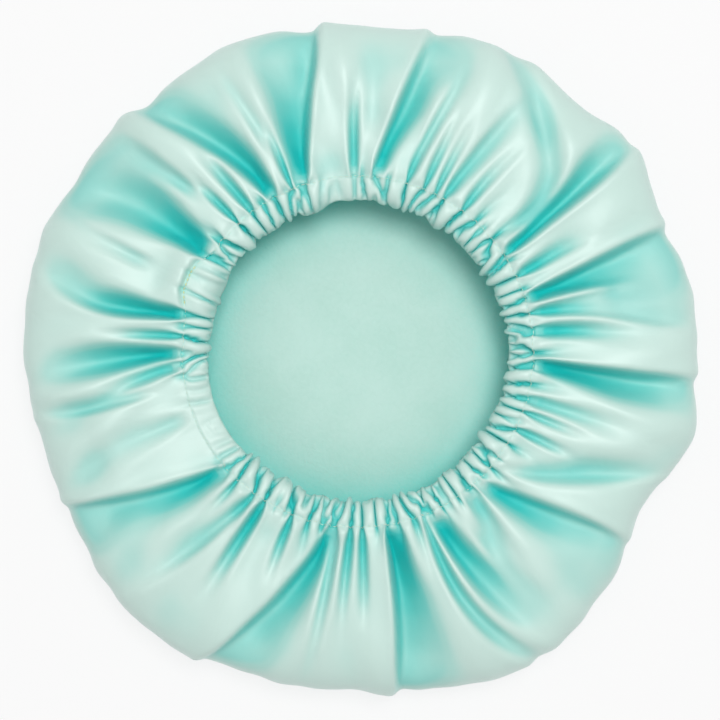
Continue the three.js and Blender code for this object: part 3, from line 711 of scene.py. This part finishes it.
def ease_folds(cloth, share):
    """The settled cloth with its fold walls evened out, where they run across the grid of points."""
    brim = cloth[STITCH_ROW:]
    even = brim.copy()
    for _ in range(EASE_ALONG):
        even[1:-1] = (even[2:] + even[:-2] + 2 * even[1:-1]) / 4
    for _ in range(EASE_ROUND):
        even = (np.roll(even, 1, axis=1) + np.roll(even, -1, axis=1) + 2 * even) / 4
    weight = smooth(share[STITCH_ROW:], *EASE_START)[:, None, None]
    return np.concatenate([cloth[:STITCH_ROW], brim + (even - brim) * weight])


def in_scene(name, data):
    """A new object in the scene."""
    thing = bpy.data.objects.new(name, data)
    bpy.context.scene.collection.objects.link(thing)
    return thing


def cloth_mesh(name, rings, cut, material, pole=None, turned=False):
    """A cloth of closed rings with its flat cut as UV map, closed by a pole where one is given."""
    rows, columns = rings.shape[:2]
    points, flat = rings.reshape(-1, 3), cut.reshape(-1, 2)
    index = np.arange(rows * columns).reshape(rows, columns)
    ahead = np.roll(index, -1, axis=1)
    faces = np.stack([index[:-1], index[1:], ahead[1:], ahead[:-1]], axis=-1).reshape(-1, 4).tolist()
    if pole is not None:
        faces += np.stack([index[-1], np.full(columns, len(points)), ahead[-1]], axis=-1).tolist()
        points, flat = np.vstack([points, pole]), np.vstack([flat, (0, 0)])
    if turned:
        faces = [face[::-1] for face in faces]
    mesh = bpy.data.meshes.new(name)
    mesh.from_pydata(points.tolist(), [], faces)
    mesh.polygons.foreach_set("use_smooth", [True] * len(mesh.polygons))
    corner = np.empty(len(mesh.loops), int)
    mesh.loops.foreach_get("vertex_index", corner)
    mesh.uv_layers.new(name="cut").data.foreach_set("uv", flat[corner].ravel())
    mesh.materials.append(material)
    return in_scene(name, mesh)


def set_painted_fold_shade(piece, tone):
    """Stores the painted shade of each point, 0 on a ridge and 1 in a deep pocket; other points have 0."""
    values = np.zeros(len(piece.data.vertices))
    values[:tone.size] = tone.ravel()
    piece.data.attributes.new("painted_fold_shade", "FLOAT", "POINT").data.foreach_set("value", values)


def set_edge_normals(piece, ring, normals):
    """Gives one ring the cloth's own normals, so that shading runs on over the stitch row."""
    mesh = piece.data
    every = np.empty(len(mesh.vertices) * 3)
    mesh.vertices.foreach_get("normal", every)
    every = every.reshape(-1, 3)
    every[ring * COLUMNS:(ring + 1) * COLUMNS] = normals
    mesh.normals_split_custom_set_from_vertices(every.tolist())


def crest_heights(heights, reach):
    """Height of the crests within a reach of columns to both sides of each point, eased."""
    shifts = range(-reach, reach + 1)
    top = np.max([np.roll(heights, shift, axis=1) for shift in shifts], axis=0)
    return np.mean([np.roll(top, shift, axis=1) for shift in shifts], axis=0)


def painted_fold_shades(rings, share):
    """Painted shade of each point of the settled rings: from its depth under the crests round it, and more
    where it is steep.
    """
    on_brim = smooth(share, 0, LAID_START)[:, None]
    far_out = smooth(share, *WIDE_FOLDS)[:, None]
    casing, brim, rim = (crest_heights(rings[..., 2], reach) for reach in CREST_REACH)
    crest = casing + (brim + (rim - brim) * far_out - casing) * on_brim
    low, high, most, steepest = (
        np.interp(share, *zip(*pairs))[:, None]
        for pairs in (RIDGE_DEPTH, POCKET_DEPTH, POCKET_PAINTED_SHADE, STEEP_PAINTED_SHADE))
    depth = np.maximum(crest - rings[..., 2], 0)
    hollow = 1 - np.exp(-depth / HOLLOW_DEPTH)
    tone = most * (HOLLOW_SHARE * hollow + (1 - HOLLOW_SHARE) * smooth(depth, low, high))
    # Painted shade on steep walls, which get less of the light from above
    steep = (1 - np.abs(outward(rings)[..., 2])) ** STEEP_POWER
    steep[0], steep[-1] = steep[1], steep[-2]
    return np.minimum(tone + steepest * steep, 1)


def cut_points(section, rows):
    """Where the points of the rows lie in the flat cut."""
    return polar(ANGLES, cut_radii(section)[rows, None], 0, 0)[..., :2]


def crown_rings():
    """Rings of the flat crown, inside the settled cloth."""
    radius = CROWN_FLAT_RADIUS * np.linspace(1, 0, CROWN_ROWS + 1)[1:-1, None]
    return polar(ANGLES, radius, np.zeros_like(radius), 0)


def make_shell(cloth, section, share, material):
    """The satin bag, from the stitch row over the brim and the rim to the crown."""
    crown = crown_rings()
    rings = np.concatenate([cloth[STITCH_ROW:], crown])
    cut = np.concatenate([cut_points(section, slice(STITCH_ROW, None)), crown[..., :2]])
    shell = cloth_mesh("bonnet_shell", rings, cut, material, pole=(0, 0, 0))
    set_edge_normals(shell, 0, outward(cloth)[STITCH_ROW])
    # Painted shade of the folds, stored on the shell's points
    set_painted_fold_shade(shell, painted_fold_shades(cloth, share)[STITCH_ROW:])
    return shell


def make_lining(cloth, section, material):
    """The lining, a little inside the bag. Its crown lies loosely on the satin."""
    loose = cloth.copy()
    loose[..., 2] = -crest_heights(-cloth[..., 2], LINING_REACH)
    inner = loose - LINING_GAP * outward(loose)
    crown = crown_rings()
    radius = np.linalg.norm(crown[..., :2], axis=-1)
    crown[..., 2] = LINING_GAP + CROWN_SWELL * (1 - (radius / CROWN_FLAT_RADIUS) ** 2)
    rows = slice(STITCH_ROW + 1, -1, 2)
    rings = np.concatenate([inner[rows], crown])
    cut = np.concatenate([cut_points(section, rows), crown[..., :2]])
    return cloth_mesh("bonnet_lining", rings, cut, material, (0, 0, LINING_GAP + CROWN_SWELL), turned=True)


def make_casing(cloth, share, material):
    """The casing: a strip of satin from the stitch row over the elastic, round the lip and back."""
    upper = cloth[:STITCH_ROW + 1][::-1]
    # Painted shade of the folds on the casing
    tone = painted_fold_shades(cloth, share)[:STITCH_ROW + 1][::-1]
    tuck = on_casing(CASING_WIDTH + JOIN_WIDENING * JOIN + SEAM_TUCK, -SEAM_OFFSET * TUNNEL_HALF)
    tucked = polar(ANGLES, *tuck, 1)[None]
    rings = np.concatenate([tucked, upper, lower_ply()])
    width = np.linspace(0, STRIP_WIDTH, len(rings))[:, None]
    cut = np.stack(np.broadcast_arrays(np.radians(ANGLES) * LIP_RADIUS * STRIP_FULLNESS, width), axis=-1)
    casing = cloth_mesh("mouth_casing", rings, cut, material, turned=True)
    set_edge_normals(casing, 1, outward(cloth)[STITCH_ROW])
    set_painted_fold_shade(casing, np.concatenate([tone[:1], tone]))
    return casing


def feed(tree, node, inputs):
    """Fills a node's inputs, by name or place: a socket is linked, and a plain value is set."""
    for label, value in inputs.items():
        if isinstance(value, bpy.types.NodeSocket):
            tree.links.new(value, node.inputs[label])
        else:
            node.inputs[label].default_value = value


def add_node(tree, kind, inputs=None, **settings):
    """A new node with these settings and inputs."""
    node = tree.nodes.new(kind)
    for name, value in settings.items():
        setattr(node, name, value)
    feed(tree, node, inputs or {})
    return node


def math_of(tree, operation, *values):
    """Result of a calculation with sockets or plain numbers."""
    return add_node(tree, "ShaderNodeMath", dict(enumerate(values)), operation=operation).outputs[0]


def new_group(name, kind, inputs, outputs):
    """A node group, what it is given, and its output node; sockets are names with kinds."""
    tree = bpy.data.node_groups.new(name, kind)
    for way, sockets in (("INPUT", inputs), ("OUTPUT", outputs)):
        for label, value in sockets.items():
            tree.interface.new_socket(label, in_out=way, socket_type="NodeSocket" + value)
    return tree, tree.nodes.new("NodeGroupInput").outputs, tree.nodes.new("NodeGroupOutput")


def weave_group():
    """Height of a weave: threads along both ways of the cut, the warp stronger."""
    tree, given, result = new_group(
        "Cloth weave", "ShaderNodeTree", {"Vector": "Vector", "Threads": "Float"}, {"Height": "Float"})
    parts = add_node(tree, "ShaderNodeSeparateXYZ", {0: given["Vector"]}).outputs
    turns = [math_of(tree, "MULTIPLY", parts[axis], given["Threads"]) for axis in "XY"]
    warp, weft = (math_of(tree, "SINE", turn) for turn in turns)
    feed(tree, result, {"Height": math_of(tree, "MULTIPLY_ADD", weft, WEFT_SHARE, warp)})
    return tree


def crinkle_group():
    """Height of the soft creases that lie in handled cloth."""
    tree, given, result = new_group(
        "Cloth crinkle", "ShaderNodeTree", {"Vector": "Vector", "Creases": "Float"}, {"Height": "Float"})
    inputs = {"Vector": given["Vector"], "Scale": given["Creases"], **CREASE_NOISE}
    feed(tree, result, {"Height": add_node(tree, "ShaderNodeTexNoise", inputs).outputs["Fac"]})
    return tree


def height_of(tree, group, vector, label, value):
    """Height that a group gives at the vector, with its other input set."""
    inputs = {"Vector": vector, label: value}
    return add_node(tree, "ShaderNodeGroup", inputs, node_tree=group).outputs["Height"]


def new_material(name, finish):
    """A material, its tree and its shader, which has this finish."""
    material = bpy.data.materials.new(name)
    material.use_nodes = True
    shader = material.node_tree.nodes["Principled BSDF"]
    feed(material.node_tree, shader, finish)
    return material, material.node_tree, shader


def ramp_of(tree, value, stops):
    """A colour ramp over a value; stops are (place, colour)."""
    node = add_node(tree, "ShaderNodeValToRGB", {0: value})
    ramp = node.color_ramp
    ramp.interpolation = "EASE"
    while len(ramp.elements) < len(stops):
        ramp.elements.new(0.5)
    for element, (place, colour) in zip(ramp.elements, stops):
        element.position = place
        element.color = (*colour, 1)
    return node.outputs["Color"]


def map_of(tree, value, ends, full=1, least=0):
    """A value between least and full turned into one between the two ends."""
    return add_node(tree, "ShaderNodeMapRange", {
        "Value": value, "From Min": least, "From Max": full, "To Min": ends[0], "To Max": ends[1],
    }).outputs["Result"]


def bump_of(tree, heights):
    """Bumps one over the other; heights are (socket, depth in metres, strength)."""
    below = {}
    for height, depth, strength in heights:
        inputs = {"Height": height, "Distance": depth, "Strength": strength, **below}
        below = {"Normal": add_node(tree, "ShaderNodeBump", inputs).outputs["Normal"]}
    return below["Normal"]


def painted_shade_of(tree, colour, shade, reach, shut_share):
    """The colour where the cloth lies open, and painted shade where other cloth is within reach of it."""
    openness = add_node(tree, "ShaderNodeAmbientOcclusion", {"Distance": reach}, samples=SHADE_SAMPLES)
    shown = map_of(tree, openness.outputs["AO"], (1, 0), OPEN_SHARE, shut_share)
    inputs = {"Fac": shown, "Color1": colour, "Color2": (*shade, 1)}
    return add_node(tree, "ShaderNodeMixRGB", inputs).outputs["Color"]


def satin_material():
    """Mint satin: pale gloss, with painted shade that turns it a strong turquoise in the folds."""
    material, tree, shader = new_material("mint_satin", SATIN_FINISH)
    cut = add_node(tree, "ShaderNodeUVMap", uv_map="cut").outputs["UV"]
    tone = add_node(tree, "ShaderNodeAttribute", attribute_name="painted_fold_shade").outputs["Fac"]
    crinkle = height_of(tree, CRINKLE, cut, "Creases", SATIN_CREASES)
    weave = height_of(tree, WEAVE, cut, "Threads", SATIN_THREADS)
    # The ramp paints shade into the folds, and the ambient occlusion paints more where cloth is near
    colour = ramp_of(tree, tone, SATIN_COLOURS)
    feed(tree, shader, {
        "Base Color": painted_shade_of(tree, colour, SATIN_PAINTED_SHADE, FOLD_REACH, FOLD_SHUT),
        "Normal": bump_of(tree, [(crinkle, *SATIN_CREASE_BUMP), (weave, *SATIN_WEAVE_BUMP)]),
        "Roughness": map_of(tree, tone, POCKET_ROUGHNESS),
        "Coat Weight": map_of(tree, tone, POCKET_GLOSS, GLOSS_END),
    })
    return material


def lining_material():
    """Matte pale lining with a faint mottle, a visible grain, and painted shade inside the bag and under
    the lip.
    """
    material, tree, shader = new_material("matte_lining", LINING_FINISH)
    cut = add_node(tree, "ShaderNodeUVMap", uv_map="cut").outputs["UV"]
    mottle = height_of(tree, CRINKLE, cut, "Creases", LINING_MOTTLE)
    grain = height_of(tree, CRINKLE, cut, "Creases", LINING_GRAIN)
    weave = height_of(tree, WEAVE, cut, "Threads", LINING_THREADS)
    colour = ramp_of(tree, math_of(tree, "MULTIPLY_ADD", grain, GRAIN_SHARE, mottle), LINING_COLOURS)
    # The lining's own mottled colour, with painted shade where the bag's cloth is near
    feed(tree, shader, {
        "Base Color": painted_shade_of(tree, colour, LINING_PAINTED_SHADE, BAG_REACH, BAG_SHUT),
        "Normal": bump_of(tree, [(grain, *LINING_GRAIN_BUMP), (weave, *LINING_WEAVE_BUMP)]),
    })
    return material


def banded_material(name, finish, colours, scale, strength, **pattern):
    """Twisted thread or ribbed elastic: fine raised bands in two shades."""
    material, tree, shader = new_material(name, finish)
    inputs = {"Vector": add_node(tree, "ShaderNodeTexCoord").outputs["Object"], "Scale": scale}
    band = add_node(tree, "ShaderNodeTexWave", inputs, **pattern).outputs["Fac"]
    normal = bump_of(tree, [(band, WEAVE_DEPTH, strength)])
    feed(tree, shader, {"Base Color": ramp_of(tree, band, colours), "Normal": normal})
    return material


def stitch_tree():
    """Geometry nodes that lay one stitch on each point, along its own direction."""
    tree, given, result = new_group(
        "Stitches", "GeometryNodeTree",
        {"Geometry": "Geometry", "Length": "Float", "Thickness": "Float", "Thread": "Material"},
        {"Geometry": "Geometry"})
    bead = add_node(tree, "GeometryNodeMeshUVSphere", STITCH_BEAD).outputs["Mesh"]
    thickness = given["Thickness"]
    size = add_node(tree, "ShaderNodeCombineXYZ", {"X": given["Length"], "Y": thickness, "Z": thickness})
    stitch = add_node(tree, "GeometryNodeTransform", {"Geometry": bead, "Scale": size.outputs[0]})
    turn = {}
    for axis, pivot, attribute in (("X", "AUTO", "stitch_along"), ("Z", "X", "stitch_up")):
        named = add_node(
            tree, "GeometryNodeInputNamedAttribute", {"Name": attribute}, data_type="FLOAT_VECTOR")
        inputs = {"Vector": named.outputs["Attribute"], **turn}
        align = add_node(
            tree, "FunctionNodeAlignRotationToVector", inputs, axis=axis, pivot_axis=pivot)
        turn = {"Rotation": align.outputs["Rotation"]}
    inputs = {2: STITCH_SIZES[0], 3: STITCH_SIZES[1], "Seed": STITCH_SEED}
    vary = add_node(tree, "FunctionNodeRandomValue", inputs, data_type="FLOAT")
    place = add_node(tree, "GeometryNodeInstanceOnPoints", {
        "Points": given["Geometry"], "Instance": stitch.outputs["Geometry"], "Scale": vary.outputs[1],
        **turn,
    })
    real = add_node(tree, "GeometryNodeRealizeInstances", {0: place.outputs["Instances"]})
    inputs = {"Geometry": real.outputs[0], "Material": given["Thread"]}
    feed(tree, result, {0: add_node(tree, "GeometryNodeSetMaterial", inputs).outputs[0]})
    return tree


def closed(ring):
    """A ring of points with its first point again at its end."""
    return np.vstack([ring, ring[:1]])


def make_stitches(name, line, up, length, thickness, thread):
    """Stitches at even steps along a line of points, each lying on the cloth."""
    along = way_along(line)
    count = int(along[-1] / length)
    spots = (np.arange(count) + 0.5) * along[-1] / count

    def at(values, where):
        return np.stack([np.interp(where, along, values[:, k]) for k in range(3)], axis=-1)

    ahead = at(line, spots + STITCH_AIM * length) - at(line, spots - STITCH_AIM * length)
    normals = at(up, spots)
    mesh = bpy.data.meshes.new(name)
    mesh.from_pydata((at(line, spots) + normals * STITCH_RISE * thickness).tolist(), [], [])
    for label, values in (("stitch_along", ahead), ("stitch_up", normals)):
        mesh.attributes.new(label, "FLOAT_VECTOR", "POINT").data.foreach_set("vector", values.ravel())
    laid = in_scene(name + "_places", mesh)
    modifier = laid.modifiers.new("stitches", "NODES")
    modifier.node_group = STITCH_TREE
    sockets = {s.name: s.identifier for s in STITCH_TREE.interface.items_tree if s.in_out == "INPUT"}
    modifier[sockets["Length"]] = STITCH_COVER * length
    modifier[sockets["Thickness"]] = thickness
    modifier[sockets["Thread"]] = thread
    ready = laid.evaluated_get(bpy.context.evaluated_depsgraph_get())
    sewn = bpy.data.meshes.new_from_object(ready)
    sewn.name = name
    sewn.polygons.foreach_set("use_smooth", [True] * len(sewn.polygons))
    bpy.data.objects.remove(laid)
    return in_scene(name, sewn)


def seen_directly(tree):
    """1 for rays from the camera, and for those that gloss or glass sends on."""
    path = add_node(tree, "ShaderNodeLightPath").outputs
    seen = path["Is Camera Ray"]
    for kind in ("Is Glossy Ray", "Is Transmission Ray"):
        seen = math_of(tree, "MAXIMUM", seen, path[kind])
    return seen


def make_floor():
    """A pale floor that the camera sees as white and that keeps the soft shadow."""
    mesh = bpy.data.meshes.new("floor")
    corners = [(-1, -1), (1, -1), (1, 1), (-1, 1)]
    mesh.from_pydata([(FLOOR_HALF * x, FLOOR_HALF * y, 0) for x, y in corners], [], [(0, 1, 2, 3)])
    floor = in_scene("floor", mesh)
    floor.location.z = -FLOOR_GAP
    material, tree, shader = new_material("white_floor", FLOOR_FINISH)
    glow = add_node(tree, "ShaderNodeEmission").outputs[0]
    share = math_of(tree, "MULTIPLY", seen_directly(tree), FLOOR_GLOW)
    mix = add_node(tree, "ShaderNodeMixShader", {0: share, 1: shader.outputs[0], 2: glow})
    feed(tree, tree.nodes["Material Output"], {"Surface": mix.outputs[0]})
    mesh.materials.append(material)


def make_lamp(name, place, size, power):
    """A square soft lamp that looks at the bonnet."""
    lamp = bpy.data.lights.new(name, "AREA")
    lamp.size = size
    lamp.energy = power
    stand = in_scene(name, lamp)
    stand.location = place
    stand.rotation_euler = (-Vector(place)).to_track_quat("-Z", "Y").to_euler()


def make_studio():
    """Plain studio light, and a camera that looks straight down."""
    scene = bpy.context.scene
    scene.view_settings.view_transform = "Standard"
    scene.world = bpy.data.worlds.new("studio")
    scene.world.use_nodes = True
    tree = scene.world.node_tree
    place = add_node(tree, "ShaderNodeTexCoord").outputs["Generated"]
    up = add_node(tree, "ShaderNodeSeparateXYZ", {0: place}).outputs["Z"]
    light = math_of(tree, "MAXIMUM", map_of(tree, up, WORLD_LIGHT), seen_directly(tree))
    feed(tree, tree.nodes["Background"], {"Color": (1, 1, 1, 1), "Strength": light})
    for lamp in LAMPS:
        make_lamp(*lamp)
    camera = bpy.data.cameras.new("camera")
    camera.lens = LENS
    view = in_scene("camera", camera)
    width = 2 * RIM_RADIUS * PICTURE_WIDTH / BONNET_WIDTH
    view.location = (0, 0, RIM_HEIGHT + width * LENS / camera.sensor_width)
    scene.camera = view


WEAVE = weave_group()
CRINKLE = crinkle_group()
STITCH_TREE = stitch_tree()
satin = satin_material()
matte = lining_material()
mint_thread = banded_material("mint_thread", THREAD_FINISH, MINT_COLOURS, **THREAD_TWIST)
yellow_thread = banded_material("yellow_thread", THREAD_FINISH, YELLOW_COLOURS, **THREAD_TWIST)
elastic = banded_material("knitted_elastic", ELASTIC_FINISH, ELASTIC_COLOURS, **ELASTIC_RIBS)

laid_cloth, section, share = start_cloth()
cloth = ease_folds(settle(laid_cloth, section, share), share)
shell = make_shell(cloth, section, share, satin)
lining = make_lining(cloth, section, matte)
casing = make_casing(cloth, share, satin)
stitch_line = closed(cloth[STITCH_ROW])
stitch_up = closed(outward(cloth)[STITCH_ROW])
topstitch = make_stitches(
    "topstitch", stitch_line, stitch_up, STITCH_LENGTH, THREAD_DIAMETER, mint_thread)
understitch = make_stitches(
    "understitch", closed(lower_ply()[-2]), -stitch_up, STITCH_LENGTH, THREAD_DIAMETER, mint_thread)
tacked = slice(*(int(a * COLUMNS / 360) for a in TACK_ANGLES))
tack = make_stitches(
    "closing_tack", stitch_line[tacked], stitch_up[tacked], TACK_STITCH, TACK_DIAMETER, yellow_thread)

for name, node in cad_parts.items():
    node.data.materials.clear()
    node.data.materials.append(elastic if "band" in name else mint_thread)

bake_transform(shell)
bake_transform(lining)
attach(casing, "mouth")
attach(topstitch, "mouth")
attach(understitch, "mouth")
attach(tack, "mouth")
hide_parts("satin_shell")
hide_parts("lining")
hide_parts("elastic_casing")
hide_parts("casing_understitch")
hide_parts("casing_closing_tack")
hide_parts("casing_topstitch")

make_floor()
make_studio()
